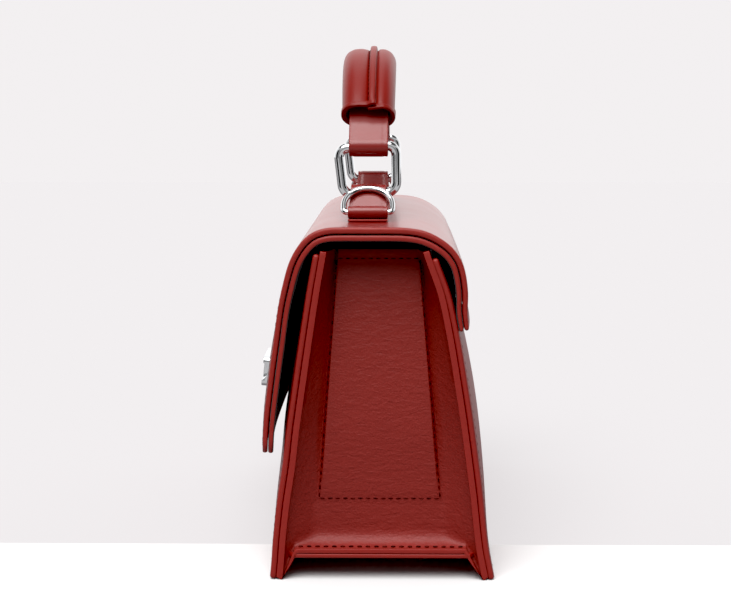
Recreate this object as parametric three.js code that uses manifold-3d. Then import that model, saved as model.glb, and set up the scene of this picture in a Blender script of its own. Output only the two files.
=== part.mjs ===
// Small structured leather satchel with a front flap, a padded top handle on two chrome rings
// and a D-ring at each end for a shoulder strap.
// Millimetres. +Z is up, X runs along the bag's width, the flap's front faces -Y.
// The origin is on the floor, under the middle of the whole bag.
import * as THREE from 'three';
import { mergeVertices } from 'three/addons/utils/BufferGeometryUtils.js';
import Module from 'manifold-3d';

const wasm = await Module();
wasm.setup();

// Body
const BAG_WIDTH = 220;
const BASE_DEPTH = 100.2;
const FRONT_HEIGHT = 146;
const BACK_HEIGHT = 144.4;
const PANEL_PLY = 3;
const PANEL_BULGE = 4.5;
const GUSSET_PLY = 2.8;
const GUSSET_RECESS = 9;
const GUSSET_FILLET = 6;
const BOTTOM_PLY = 1.9;
const BOTTOM_LIFT = 10.6;
const BOTTOM_FLANGE_LIFT = 1;

// Flap
const FLAP_THICKNESS = 6.4;
const FLAP_CLEARANCE = 5.3;
const FLAP_CORNER_RADIUS = 10;
const FLAP_BULGE = 4;
// The front bows out in full below the first share of the flap's inner top, and not above the second
const FLAP_BULGE_FULL_SHARE = 0.63;
const FLAP_BULGE_END_SHARE = 0.96;

// Clasp and the magnetic snap behind it
const CLASP_WIDTH = 30;
const CLASP_HEIGHT = 16.4;
const CLASP_DEPTH = 5.5;
const CLASP_CENTRE_HEIGHT = 76.8;
const CLASP_CORNER_RADIUS = 2.5;
const CLASP_BEVEL = 0.8;
const CLASP_GRIP_WIDTH = 12;
const CLASP_SCOOP_WIDTH = 9;
const CLASP_SCOOP_DEPTH = 2.6;
const SNAP_DIAMETER = 15;

// Handle
const HANDLE_OFFSET = -7;
const RING_SPAN = 126;
const HANDLE_RISE = 39.4;
const STRAP_WIDTH = 17.8;
const STRAP_THICKNESS = 3.8;
const STRAP_EYE_PLY = 1.6;
const STRAP_EYE_LENGTH = 12;
const ROLL_WIDTH = 26;
const ROLL_END_WIDTH = 24;
const ROLL_THICKNESS = 15;
const ROLL_HALF_SWEEP = THREE.MathUtils.degToRad(50);

// Rings between the handle and the bag
const RING_WIRE = 4.6;
const RING_WIRE_BEVEL = 1.3;
const RING_TOP_WIDTH = 32;
const RING_BOTTOM_WIDTH = 29;
const RING_BAR_SPACING = 22;
const RING_CORNER_RADIUS = 7;
const RING_TILT = THREE.MathUtils.degToRad(3.5);

// Tabs and loops on the flap's top
const BASE_TAB_LENGTH = 40;
const BASE_TAB_WIDTH = 18.2;
const BASE_TAB_PLY = 1;
const LOOP_WIDTH = 17.2;
const LOOP_PLY = 1.1;
const LOOP_EYE_PLY = 1.4;
const LOOP_FOOT_LENGTH = 19;
const LOOP_RISE = 10.1;

// D-rings
const D_WIDTH = 25;
const D_HEIGHT = 18;
const D_WIRE = 2.8;
const D_WIRE_BEVEL = 0.7;
const D_BAR_REACH = 16.8;
const D_CORNER_OUTSIDE = 2.5;
const D_CORNER_INSIDE = 0.3;

// Gaps between neighbours: sewn or resting pieces, and a bar in its eye
const SEAM_GAP = 0.3;
const BAR_GAP = 0.3;

const HALF_WIDTH = BAG_WIDTH / 2;
const HALF_DEPTH = BASE_DEPTH / 2;

// Shares of the half depth at shares of the panel's height, at the bag's ends
const FRONT_PROFILE = [
  { up: 0, out: 0.998 },
  { up: 0.041, out: 0.951 },
  { up: 0.274, out: 0.917 },
  { up: 0.473, out: 0.849 },
  { up: 0.856, out: 0.68 },
  { up: 1, out: 0.607 },
];
const BACK_PROFILE = [
  { up: 0, out: 1.002 },
  { up: 0.104, out: 0.944 },
  { up: 0.277, out: 0.887 },
  { up: 0.575, out: 0.767 },
  { up: 0.866, out: 0.615 },
  { up: 1, out: 0.483 },
];

// Inner face of the flap from its tip over the top: depth as a share of the half depth, height as a
// share of the flap's inner top, thickness as a share of the flap's thickness
const FLAP_PROFILE = [
  { out: -0.976, up: 0.377, thick: 0.62 },
  { out: -0.97, up: 0.403, thick: 0.68 },
  { out: -0.962, up: 0.436, thick: 0.73 },
  { out: -0.94, up: 0.497, thick: 0.79 },
  { out: -0.89, up: 0.612, thick: 0.83 },
  { out: -0.854, up: 0.696, thick: 0.83 },
  { out: -0.812, up: 0.797, thick: 0.84 },
  { out: -0.77, up: 0.86, thick: 0.87 },
  { out: -0.717, up: 0.923, thick: 0.89 },
  { out: -0.653, up: 0.961, thick: 0.92 },
  { out: -0.573, up: 0.988, thick: 0.95 },
  { out: -0.479, up: 0.998, thick: 1 },
  { out: -0.36, up: 1, thick: 1 },
  { out: -0.14, up: 1, thick: 1 },
  { out: 0.08, up: 1, thick: 1 },
  { out: 0.22, up: 0.998, thick: 1 },
  { out: 0.337, up: 0.991, thick: 1 },
  { out: 0.455, up: 0.973, thick: 0.97 },
  { out: 0.545, up: 0.949, thick: 0.94 },
  { out: 0.603, up: 0.917, thick: 0.91 },
  { out: 0.639, up: 0.855, thick: 0.86 },
];
// Rear rows of the flap, sewn to the back panel's face, at shares of the panel's height
const FLAP_SEWN_ROWS = [
  { up: 0.83, thick: 0.79 },
  { up: 0.772, thick: 0.69 },
];

// Section of the padded roll: shares of its half width and of half its thickness. The two rows
// furthest out are the folded overlap that stands up along the top.
const ROLL_SECTION = [
  { across: 0, out: -1 },
  { across: 0.45, out: -0.97 },
  { across: 0.8, out: -0.75 },
  { across: 0.98, out: -0.25 },
  { across: 0.97, out: 0.3 },
  { across: 0.78, out: 0.78 },
  { across: 0.5, out: 0.97 },
  { across: 0.3, out: 0.95 },
  { across: 0.27, out: 1.17 },
  { across: 0.04, out: 1.19 },
  { across: 0.01, out: 0.95 },
  { across: -0.25, out: 1 },
  { across: -0.6, out: 0.94 },
  { across: -0.85, out: 0.68 },
  { across: -0.98, out: 0.2 },
  { across: -0.95, out: -0.35 },
  { across: -0.75, out: -0.78 },
  { across: -0.45, out: -0.97 },
];

const LEATHER = { colour: 0x8e2c2a, roughness: 0.42, metalness: 0 };
const LINING = { colour: 0x17120f, roughness: 0.9, metalness: 0 };
const CHROME = { colour: 0xd9dbdd, roughness: 0.12, metalness: 1 };

// Smooth value through rows of { at, value }
function smoothThrough(rows) {
  const slopes = rows.map((row, i) => {
    const before = rows[Math.max(i - 1, 0)];
    const after = rows[Math.min(i + 1, rows.length - 1)];
    return (after.value - before.value) / (after.at - before.at);
  });
  return (at) => {
    let i = 0;
    while (i < rows.length - 2 && at > rows[i + 1].at) {
      i += 1;
    }
    const run = rows[i + 1].at - rows[i].at;
    const t = (at - rows[i].at) / run;
    const leave = (2 * t ** 3 - 3 * t ** 2 + 1) * rows[i].value;
    const arrive = (3 * t ** 2 - 2 * t ** 3) * rows[i + 1].value;
    const bend = (t ** 3 - 2 * t ** 2 + t) * slopes[i] + (t ** 3 - t ** 2) * slopes[i + 1];
    return leave + arrive + bend * run;
  };
}

const frontShare = smoothThrough(FRONT_PROFILE.map((row) => ({ at: row.up, value: row.out })));
const backShare = smoothThrough(BACK_PROFILE.map((row) => ({ at: row.up, value: row.out })));

// Outer faces of the panels at the bag's ends
function frontOuter(height) {
  return -HALF_DEPTH * frontShare(height / FRONT_HEIGHT);
}
function backOuter(height) {
  return HALF_DEPTH * backShare(height / BACK_HEIGHT);
}

// Lines that the gussets and the bottom are sewn along
function frontSeam(height) {
  return frontOuter(height) + PANEL_PLY + SEAM_GAP;
}
function backSeam(height) {
  return backOuter(height) - PANEL_PLY - SEAM_GAP;
}

// The filled bag bows out between its stiff ends
function bow(x) {
  return 1 - Math.abs(x / HALF_WIDTH) ** 3;
}
function panelBulge(x, share) {
  return PANEL_BULGE * bow(x) * Math.sin(Math.PI * share);
}

// A closed mesh with shared corners whose faces point out
function closed(geometry) {
  geometry.deleteAttribute('normal');
  geometry.deleteAttribute('uv');
  const merged = mergeVertices(geometry);
  const spot = merged.getAttribute('position');
  const index = merged.getIndex();
  const corners = [new THREE.Vector3(), new THREE.Vector3(), new THREE.Vector3()];
  const faces = [];
  let volume = 0;
  for (let i = 0; i < index.count; i += 3) {
    const face = [index.getX(i), index.getX(i + 1), index.getX(i + 2)];
    if (new Set(face).size === 3) {
      faces.push(face);
      face.forEach((number, k) => corners[k].fromBufferAttribute(spot, number));
      volume += corners[0].dot(corners[1].cross(corners[2]));
    }
  }
  if (volume < 0) {
    faces.forEach((face) => face.reverse());
  }
  merged.setIndex(faces.flat());
  return merged;
}

// A box of unit size, cut into steps and bent: place gives the spot for each share along, across
// and through
function plate(alongSteps, acrossSteps, place) {
  const geometry = new THREE.BoxGeometry(1, 1, 1, alongSteps, acrossSteps, 1);
  const spot = geometry.getAttribute('position');
  for (let i = 0; i < spot.count; i += 1) {
    const point = place(spot.getX(i) + 0.5, spot.getY(i) + 0.5, spot.getZ(i) + 0.5);
    spot.setXYZ(i, point.x, point.y, point.z);
  }
  return closed(geometry);
}

function manifoldOf(geometry) {
  const vertProperties = Float32Array.from(geometry.getAttribute('position').array);
  const triVerts = Uint32Array.from(geometry.getIndex().array);
  return new wasm.Manifold(new wasm.Mesh({ numProp: 3, vertProperties, triVerts }));
}

function geometryOf(manifold) {
  const mesh = manifold.getMesh();
  const geometry = new THREE.BufferGeometry();
  geometry.setAttribute('position', new THREE.BufferAttribute(mesh.vertProperties, 3));
  geometry.setIndex(new THREE.BufferAttribute(mesh.triVerts, 1));
  return geometry;
}

// Extrusions centred on their plane: a shape drawn in Y and Z, or in X and Z
const DRAWN_IN_YZ = new THREE.Matrix4().makeBasis(
  new THREE.Vector3(0, 1, 0),
  new THREE.Vector3(0, 0, 1),
  new THREE.Vector3(1, 0, 0),
);
const DRAWN_IN_XZ = new THREE.Matrix4().makeBasis(
  new THREE.Vector3(1, 0, 0),
  new THREE.Vector3(0, 0, 1),
  new THREE.Vector3(0, -1, 0),
);
function extruded(shape, depth, basis, { bevel = 0, bevelSegments = 1, curveSegments = 8 } = {}) {
  const geometry = new THREE.ExtrudeGeometry(shape, {
    depth: depth - 2 * bevel,
    curveSegments,
    bevelEnabled: bevel > 0,
    bevelThickness: bevel,
    bevelSize: bevel,
    bevelOffset: -bevel,
    bevelSegments,
  });
  geometry.translate(0, 0, bevel - depth / 2);
  geometry.applyMatrix4(basis);
  return closed(geometry);
}

function named(name, geometry, finish) {
  const material = new THREE.MeshStandardMaterial({
    color: finish.colour,
    roughness: finish.roughness,
    metalness: finish.metalness,
  });
  const mesh = new THREE.Mesh(geometry, material);
  mesh.name = name;
  return mesh;
}

// Front and back panels, whose lower edges stand on the floor
const PANEL_STEPS_UP = 12;
const STEPS_ACROSS = 8;
function frontPanel() {
  return plate(PANEL_STEPS_UP, STEPS_ACROSS, (up, across, through) => {
    const x = (across - 0.5) * BAG_WIDTH;
    const z = up * FRONT_HEIGHT;
    return new THREE.Vector3(x, frontOuter(z) - panelBulge(x, up) + through * PANEL_PLY, z);
  });
}
function backPanel() {
  return plate(PANEL_STEPS_UP, STEPS_ACROSS, (up, across, through) => {
    const x = (across - 0.5) * BAG_WIDTH;
    const z = up * BACK_HEIGHT;
    return new THREE.Vector3(x, backOuter(z) + panelBulge(x, up) - through * PANEL_PLY, z);
  });
}

// Gusset: a straight flange along each panel, a quarter turn and a flat wall across. Each station
// gives how deep it lies behind the bag's end and how far in from the seam.
const GUSSET_TURN_STEPS = 4;
const BOTTOM_TOP = BOTTOM_LIFT + BOTTOM_PLY;
const GUSSET_FOOT = BOTTOM_TOP + SEAM_GAP;
function gussetStation(number, through) {
  if (number === 0) return { depth: 0, inset: GUSSET_PLY * through };
  const turn = ((number - 1) / GUSSET_TURN_STEPS) * (Math.PI / 2);
  const radius = GUSSET_FILLET + GUSSET_PLY * (1 - through);
  return {
    depth: GUSSET_RECESS - GUSSET_FILLET + radius * Math.sin(turn),
    inset: GUSSET_PLY + GUSSET_FILLET - radius * Math.cos(turn),
  };
}
function gusset(side) {
  const stations = 2 * (GUSSET_TURN_STEPS + 2);
  const wall = plate(PANEL_STEPS_UP, stations - 1, (up, across, through) => {
    const z = GUSSET_FOOT + up * (BACK_HEIGHT - GUSSET_FOOT);
    const number = Math.round(across * (stations - 1));
    const atFront = number < stations / 2;
    const { depth, inset } = gussetStation(atFront ? number : stations - 1 - number, through);
    const y = atFront ? frontSeam(z) + inset : backSeam(z) - inset;
    return new THREE.Vector3(side * (HALF_WIDTH - depth), y, z);
  });
  const foot = plate(1, 1, (up, across, through) => {
    const z = GUSSET_FOOT + up * GUSSET_PLY;
    const y = THREE.MathUtils.lerp(frontSeam(z), backSeam(z), across);
    return new THREE.Vector3(side * (HALF_WIDTH - through * (GUSSET_RECESS + GUSSET_PLY)), y, z);
  });
  return geometryOf(manifoldOf(wall).add(manifoldOf(foot)));
}

// Bottom panel with a flange turned down along each panel
const BOTTOM_FLANGE_STEPS = 4;
function bottomPanel() {
  const section = new THREE.Shape();
  const heights = [];
  for (let i = 0; i <= BOTTOM_FLANGE_STEPS; i += 1) {
    heights.push(THREE.MathUtils.lerp(BOTTOM_FLANGE_LIFT, BOTTOM_TOP, i / BOTTOM_FLANGE_STEPS));
  }
  const inside = heights.map((height) => Math.min(height, BOTTOM_LIFT));
  section.setFromPoints([
    ...heights.map((z) => new THREE.Vector2(frontSeam(z), z)),
    ...heights.toReversed().map((z) => new THREE.Vector2(backSeam(z), z)),
    ...inside.map((z) => new THREE.Vector2(backSeam(z) - GUSSET_PLY, z)),
    ...inside.toReversed().map((z) => new THREE.Vector2(frontSeam(z) + GUSSET_PLY, z)),
  ]);
  return extruded(section, BAG_WIDTH, DRAWN_IN_YZ);
}

// Flap: a curve along its inner face that carries the thickness as its x
const FLAP_INNER_TOP = FRONT_HEIGHT + FLAP_CLEARANCE;
const FLAP_STEPS_PER_ROW = 2;
const FLAP_BULGE_FULL = FLAP_BULGE_FULL_SHARE * FLAP_INNER_TOP;
const FLAP_BULGE_END = FLAP_BULGE_END_SHARE * FLAP_INNER_TOP;
const flapRows = [
  ...FLAP_PROFILE.map((row) => new THREE.Vector3(
    row.thick * FLAP_THICKNESS,
    row.out * HALF_DEPTH,
    row.up * FLAP_INNER_TOP,
  )),
  ...FLAP_SEWN_ROWS.map((row) => new THREE.Vector3(
    row.thick * FLAP_THICKNESS,
    backOuter(row.up * BACK_HEIGHT) + SEAM_GAP,
    row.up * BACK_HEIGHT,
  )),
];
const flapCurve = new THREE.CatmullRomCurve3(flapRows, false, 'centripetal');
const flapTip = flapCurve.getPoint(0);

// How far the flap bows out, at the front and, with the panel under it, at the back
function flapBulge(x, y, z) {
  if (y > 0) return panelBulge(x, Math.min(z / BACK_HEIGHT, 1));
  const rise = THREE.MathUtils.smoothstep(z, FLAP_BULGE_FULL, FLAP_BULGE_END);
  return -FLAP_BULGE * bow(x) * (1 - rise);
}

// Spot on the flap: share along from the tip, x at the bag's ends' scale, and share through it
function flapSpot(along, x, through) {
  const spot = flapCurve.getPoint(along);
  const run = flapCurve.getTangent(along);
  const length = Math.hypot(run.y, run.z);
  const y = spot.y - (run.z / length) * through * spot.x;
  const z = spot.z + (run.y / length) * through * spot.x;
  return new THREE.Vector3(x, y + flapBulge(x, spot.y, spot.z), z);
}
function flapHalfWidth(along) {
  const spot = flapCurve.getPoint(along);
  const reach = Math.hypot(spot.y - flapTip.y, spot.z - flapTip.z);
  const rest = Math.max(FLAP_CORNER_RADIUS - reach, 0);
  return HALF_WIDTH - FLAP_CORNER_RADIUS + Math.sqrt(FLAP_CORNER_RADIUS ** 2 - rest ** 2);
}
function flapPly(from, to) {
  const steps = FLAP_STEPS_PER_ROW * (flapRows.length - 1);
  return plate(steps, STEPS_ACROSS, (along, across, through) => {
    const x = (across - 0.5) * 2 * flapHalfWidth(along);
    const share = THREE.MathUtils.lerp(from, to, through);
    return flapSpot(along, x, share);
  });
}
// The gap between the plies is a share of the flap's thickness, set where the flap has its middle one
const FLAP_MIDDLE_THICK = 0.8;
const PLY_GAP_SHARE = SEAM_GAP / (2 * FLAP_MIDDLE_THICK * FLAP_THICKNESS);
const flapLining = () => flapPly(0, 0.5 - PLY_GAP_SHARE);
const flapOuter = () => flapPly(0.5 + PLY_GAP_SHARE, 1);

// Depth of a face of the flap's front at mid width and a given height, found by halving
const FRONT_SHARE_OF_CURVE = 0.5;
const HALVINGS = 40;
function flapFrontDepth(height, through) {
  let low = 0;
  let high = FRONT_SHARE_OF_CURVE;
  for (let i = 0; i < HALVINGS; i += 1) {
    const middle = (low + high) / 2;
    if (flapSpot(middle, 0, through).z < height) {
      low = middle;
    } else {
      high = middle;
    }
  }
  return flapSpot(low, 0, through).y;
}

// Clasp: a plaque with a scoop at each side of its middle grip
const ROUND_STEPS = 32;
const claspRise = CLASP_HEIGHT / 2;
const claspFoot = flapFrontDepth(CLASP_CENTRE_HEIGHT - claspRise, 1);
const claspHead = flapFrontDepth(CLASP_CENTRE_HEIGHT + claspRise, 1);
const claspLean = Math.atan2(claspHead - claspFoot, CLASP_HEIGHT);
const claspSeat = (claspHead + claspFoot) / 2;
function claspPlate() {
  const outline = new THREE.Shape();
  const [w, h, r] = [CLASP_WIDTH / 2, CLASP_HEIGHT / 2, CLASP_CORNER_RADIUS];
  outline.absarc(w - r, h - r, r, 0, Math.PI / 2);
  outline.absarc(r - w, h - r, r, Math.PI / 2, Math.PI);
  outline.absarc(r - w, r - h, r, Math.PI, 1.5 * Math.PI);
  outline.absarc(w - r, r - h, r, 1.5 * Math.PI, 2 * Math.PI);
  const options = { bevel: CLASP_BEVEL, curveSegments: 4 };
  let plaque = manifoldOf(extruded(outline, CLASP_DEPTH, DRAWN_IN_XZ, options));
  const half = CLASP_SCOOP_WIDTH / 2;
  const radius = (half ** 2 + CLASP_SCOOP_DEPTH ** 2) / (2 * CLASP_SCOOP_DEPTH);
  for (const side of [-1, 1]) {
    const scoop = new THREE.CylinderGeometry(radius, radius, CLASP_WIDTH, ROUND_STEPS);
    scoop.rotateZ(Math.PI / 2);
    const x = side * (CLASP_GRIP_WIDTH + CLASP_WIDTH) / 2;
    scoop.translate(x, CLASP_SCOOP_DEPTH - CLASP_DEPTH / 2 - radius, 0);
    plaque = plaque.subtract(manifoldOf(closed(scoop)));
  }
  return geometryOf(plaque);
}
function placedClasp() {
  const clasp = named('clasp_plate', claspPlate(), CHROME);
  clasp.rotation.x = -claspLean;
  clasp.position.set(0, claspSeat - (SEAM_GAP + CLASP_DEPTH / 2) / Math.cos(claspLean), CLASP_CENTRE_HEIGHT);
  return clasp;
}

// Magnetic snap: one plain disc in the space between the flap and the front panel
function placedSnap() {
  const panelFace = (z) => frontOuter(z) - panelBulge(0, z / FRONT_HEIGHT);
  const liningFace = (z) => flapFrontDepth(z, 0);
  const radius = SNAP_DIAMETER / 2;
  const [low, high] = [CLASP_CENTRE_HEIGHT - radius, CLASP_CENTRE_HEIGHT + radius];
  const rise = panelFace(high) + liningFace(high) - panelFace(low) - liningFace(low);
  const lean = Math.atan2(rise / 2, SNAP_DIAMETER);
  const room = Math.min(panelFace(low) - liningFace(low), panelFace(high) - liningFace(high));
  const thickness = room * Math.cos(lean) - 2 * SEAM_GAP;
  const disc = new THREE.CylinderGeometry(radius, radius, thickness, ROUND_STEPS);
  const snap = named('magnet_snap', closed(disc), CHROME);
  snap.rotation.x = -lean;
  const middle = (panelFace(CLASP_CENTRE_HEIGHT) + liningFace(CLASP_CENTRE_HEIGHT)) / 2;
  snap.position.set(0, middle, CLASP_CENTRE_HEIGHT);
  return snap;
}

// Heights on the flap's top, from the flap up to the rings and the handle
const FLAP_TOP = FLAP_INNER_TOP + FLAP_THICKNESS;
const TAB_FOOT = FLAP_TOP + SEAM_GAP;
const LOOP_FOOT = TAB_FOOT + BASE_TAB_PLY + SEAM_GAP;
const RING_FOOT = LOOP_FOOT + LOOP_RISE;
const RING_HEAD = RING_FOOT + RING_BAR_SPACING;
const RING_PLACE = RING_SPAN / 2;
const BAR_SLACK = (LOOP_WIDTH / 2) * Math.sin(RING_TILT);
const RING_EYE = RING_WIRE / 2 + BAR_GAP + BAR_SLACK;
const D_EYE = D_WIRE / 2 + BAR_GAP;

// Angle at which a strap leaves one circle for the next, running with both on its left
function tangentAngle(from, to) {
  const heading = Math.atan2(to.z - from.z, to.x - from.x);
  const distance = Math.hypot(to.x - from.x, to.z - from.z);
  return heading - Math.acos((from.r - to.r) / distance);
}

// Leather loop in its own plane: x is outward from the ring, z is up from the floor
const ringBar = { x: 0, z: RING_FOOT, r: RING_EYE + LOOP_EYE_PLY };
const dBar = { x: D_BAR_REACH, z: LOOP_FOOT + D_EYE + LOOP_PLY, r: D_EYE + LOOP_PLY };
function loop() {
  const seam = LOOP_FOOT + 2 * LOOP_PLY;
  const valley = { x: dBar.x - dBar.r - LOOP_PLY, z: seam, r: 0 };
  const heel = { x: -LOOP_FOOT_LENGTH / 2, z: seam, r: 0 };
  const outward = tangentAngle(valley, ringBar);
  const inward = tangentAngle(ringBar, heel) + 2 * Math.PI;
  const shape = new THREE.Shape();
  shape.moveTo(-LOOP_FOOT_LENGTH, LOOP_FOOT);
  shape.lineTo(dBar.x, LOOP_FOOT);
  shape.absarc(dBar.x, dBar.z, dBar.r, -Math.PI / 2, tangentAngle(dBar, valley) + 2 * Math.PI);
  shape.lineTo(valley.x, valley.z);
  shape.absarc(ringBar.x, ringBar.z, ringBar.r, outward, inward);
  shape.lineTo(heel.x, heel.z);
  shape.lineTo(-LOOP_FOOT_LENGTH, seam);

  const dHole = new THREE.Path();
  dHole.absarc(dBar.x, dBar.z, D_EYE, 0, 2 * Math.PI);
  const hollow = new THREE.Path();
  const foot = LOOP_FOOT + LOOP_EYE_PLY;
  const footReach = (angle) => {
    const drop = RING_FOOT + RING_EYE * Math.sin(angle) - foot;
    return RING_EYE * Math.cos(angle) + Math.abs(drop * Math.tan(angle)) * Math.sign(Math.cos(angle));
  };
  hollow.absarc(ringBar.x, ringBar.z, RING_EYE, outward, inward);
  hollow.lineTo(footReach(inward), foot);
  hollow.lineTo(footReach(outward), foot);
  shape.holes.push(dHole, hollow);
  return extruded(shape, LOOP_WIDTH, DRAWN_IN_XZ, { curveSegments: 14 });
}

// Base tab between the flap and the loop
function baseTab() {
  const tab = new THREE.BoxGeometry(BASE_TAB_LENGTH, BASE_TAB_WIDTH, BASE_TAB_PLY);
  tab.translate(D_BAR_REACH + D_EYE + LOOP_PLY - BASE_TAB_LENGTH / 2, 0, TAB_FOOT + BASE_TAB_PLY / 2);
  return closed(tab);
}

// Ring: a rounded frame, wider at the top, drawn about its lower bar's middle
function ringOutline(path, inset) {
  const top = RING_TOP_WIDTH / 2 - inset;
  const bottom = RING_BOTTOM_WIDTH / 2 - inset;
  const low = inset - RING_WIRE / 2;
  const high = RING_BAR_SPACING + RING_WIRE / 2 - inset;
  const corners = [
    new THREE.Vector2(-bottom, low),
    new THREE.Vector2(bottom, low),
    new THREE.Vector2(top, high),
    new THREE.Vector2(-top, high),
  ];
  const radius = RING_CORNER_RADIUS - inset;
  corners.forEach((corner, i) => {
    const towards = (other) => other.clone().sub(corner).setLength(radius).add(corner);
    const arrive = towards(corners[(i + 3) % 4]);
    const leave = towards(corners[(i + 1) % 4]);
    if (i === 0) path.moveTo(arrive.x, arrive.y);
    else path.lineTo(arrive.x, arrive.y);
    path.quadraticCurveTo(corner.x, corner.y, leave.x, leave.y);
  });
  path.closePath();
  return path;
}
function ring() {
  const outline = ringOutline(new THREE.Shape(), 0);
  outline.holes.push(ringOutline(new THREE.Path(), RING_WIRE));
  const options = { bevel: RING_WIRE_BEVEL, bevelSegments: 2, curveSegments: 5 };
  const frame = extruded(outline, RING_WIRE, DRAWN_IN_YZ, options);
  frame.translate(0, 0, -RING_BAR_SPACING / 2);
  return frame;
}

// D-ring drawn about its bar's middle
function dOutline(path, inset) {
  const half = D_WIDTH / 2 - inset;
  const low = inset - D_WIRE / 2;
  const springing = D_HEIGHT - D_WIRE / 2 - D_WIDTH / 2;
  const corner = THREE.MathUtils.lerp(D_CORNER_OUTSIDE, D_CORNER_INSIDE, inset / D_WIRE);
  path.moveTo(corner - half, low);
  path.lineTo(half - corner, low);
  path.quadraticCurveTo(half, low, half, low + corner);
  path.absarc(0, springing, half, 0, Math.PI);
  path.lineTo(-half, low + corner);
  path.quadraticCurveTo(-half, low, corner - half, low);
  return path;
}
function dRing() {
  const outline = dOutline(new THREE.Shape(), 0);
  outline.holes.push(dOutline(new THREE.Path(), D_WIRE));
  return extruded(outline, D_WIRE, DRAWN_IN_YZ, { bevel: D_WIRE_BEVEL, curveSegments: 9 });
}

// At rest a D-ring leans on its loop: the angle between its plane and straight up
function dLean() {
  const reach = D_HEIGHT - D_WIRE;
  const distance = Math.hypot(ringBar.x - dBar.x, ringBar.z - dBar.z);
  const apart = ringBar.r + D_WIRE / 2 + SEAM_GAP;
  const swing = Math.acos((reach ** 2 + distance ** 2 - apart ** 2) / (2 * reach * distance));
  const heading = Math.atan2(ringBar.z - dBar.z, ringBar.x - dBar.x);
  return heading - swing - Math.PI / 2;
}

// Handle: the strap's arch runs through the middles of both rings' top bars and the apex
const handleRadius = (RING_PLACE ** 2 + HANDLE_RISE ** 2) / (2 * HANDLE_RISE);
const handleCentre = RING_HEAD + HANDLE_RISE - handleRadius;
const ringAngle = Math.asin(RING_PLACE / handleRadius);
function onArch(radius, angle) {
  return { x: radius * Math.sin(angle), z: handleCentre + radius * Math.cos(angle), r: 0 };
}
function handleStrap() {
  const half = STRAP_THICKNESS / 2;
  const neck = ringAngle - STRAP_EYE_LENGTH / handleRadius;
  const eye = { x: RING_PLACE, z: RING_HEAD, r: RING_EYE + STRAP_EYE_PLY };
  const start = tangentAngle(onArch(handleRadius - half, neck), eye);
  const end = tangentAngle(eye, onArch(handleRadius + half, neck));
  const up = Math.PI / 2;
  const shape = new THREE.Shape();
  shape.absarc(eye.x, eye.z, eye.r, start, end);
  shape.absarc(0, handleCentre, handleRadius + half, up - neck, up + neck);
  shape.absarc(-eye.x, eye.z, eye.r, Math.PI - end, Math.PI - start);
  shape.absarc(0, handleCentre, handleRadius - half, up + neck, up - neck, true);
  for (const side of [-1, 1]) {
    const hole = new THREE.Path();
    hole.absarc(side * eye.x, eye.z, RING_EYE, 0, 2 * Math.PI);
    shape.holes.push(hole);
  }
  return extruded(shape, STRAP_WIDTH, DRAWN_IN_XZ, { curveSegments: 18 });
}

// Padded roll round the strap, a section with a slot bent along the arch
const ROLL_STEPS = 20;
function handleRoll() {
  const section = new THREE.Shape(ROLL_SECTION.map((row) => new THREE.Vector2(
    row.across * ROLL_WIDTH / 2,
    row.out * ROLL_THICKNESS / 2,
  )));
  const slotWidth = STRAP_WIDTH / 2 + SEAM_GAP;
  const slotHeight = STRAP_THICKNESS / 2 + SEAM_GAP;
  section.holes.push(new THREE.Path([
    new THREE.Vector2(-slotWidth, -slotHeight),
    new THREE.Vector2(slotWidth, -slotHeight),
    new THREE.Vector2(slotWidth, slotHeight),
    new THREE.Vector2(-slotWidth, slotHeight),
  ]));
  const roll = new THREE.ExtrudeGeometry(section, { depth: 1, steps: ROLL_STEPS, bevelEnabled: false });
  const spot = roll.getAttribute('position');
  for (let i = 0; i < spot.count; i += 1) {
    const [across, out] = [spot.getX(i), spot.getY(i)];
    const sweep = 2 * spot.getZ(i) - 1;
    const inSlot = Math.abs(across) < slotWidth + SEAM_GAP && Math.abs(out) < slotHeight + SEAM_GAP;
    const taper = inSlot ? 1 : 1 - (1 - ROLL_END_WIDTH / ROLL_WIDTH) * sweep ** 2;
    const point = onArch(handleRadius + out, sweep * ROLL_HALF_SWEEP);
    spot.setXYZ(i, point.x, across * taper, point.z);
  }
  return closed(roll);
}

// Pieces that stand over one end of the bag, for the right end; the left end is turned half round
function endFittings(sideName) {
  const fittings = new THREE.Group();
  const frame = named(`ring_${sideName}`, ring(), CHROME);
  frame.position.z = RING_FOOT + RING_BAR_SPACING / 2;
  const dFrame = named(`d_ring_${sideName}`, dRing(), CHROME);
  dFrame.position.set(dBar.x, 0, dBar.z);
  dFrame.rotation.y = -dLean();
  fittings.add(
    frame,
    dFrame,
    named(`loop_${sideName}`, loop(), LEATHER),
    named(`base_tab_${sideName}`, baseTab(), LEATHER),
  );
  return fittings;
}

const right = endFittings('right');
right.position.x = RING_PLACE;
right.getObjectByName('ring_right').rotation.x = RING_TILT;
const left = endFittings('left');
left.position.x = -RING_PLACE;
left.rotation.z = Math.PI;
left.getObjectByName('ring_left').rotation.x = -RING_TILT;

const handle = new THREE.Group();
handle.add(
  right,
  left,
  named('handle_strap', handleStrap(), LEATHER),
  named('handle_roll', handleRoll(), LEATHER),
);
handle.position.y = HANDLE_OFFSET;

const bag = new THREE.Group();
bag.add(
  named('front_panel', frontPanel(), LEATHER),
  named('back_panel', backPanel(), LEATHER),
  named('gusset_right', gusset(1), LEATHER),
  named('gusset_left', gusset(-1), LEATHER),
  named('bottom_panel', bottomPanel(), LEATHER),
  named('flap_outer', flapOuter(), LEATHER),
  named('flap_lining', flapLining(), LINING),
  placedClasp(),
  placedSnap(),
  handle,
);

// The origin lies midway between the clasp's front and the back panel's foot
const group = new THREE.Group();
group.add(bag);
const extent = new THREE.Box3().setFromObject(bag, true);
bag.position.y = -(extent.min.y + extent.max.y) / 2;

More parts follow.
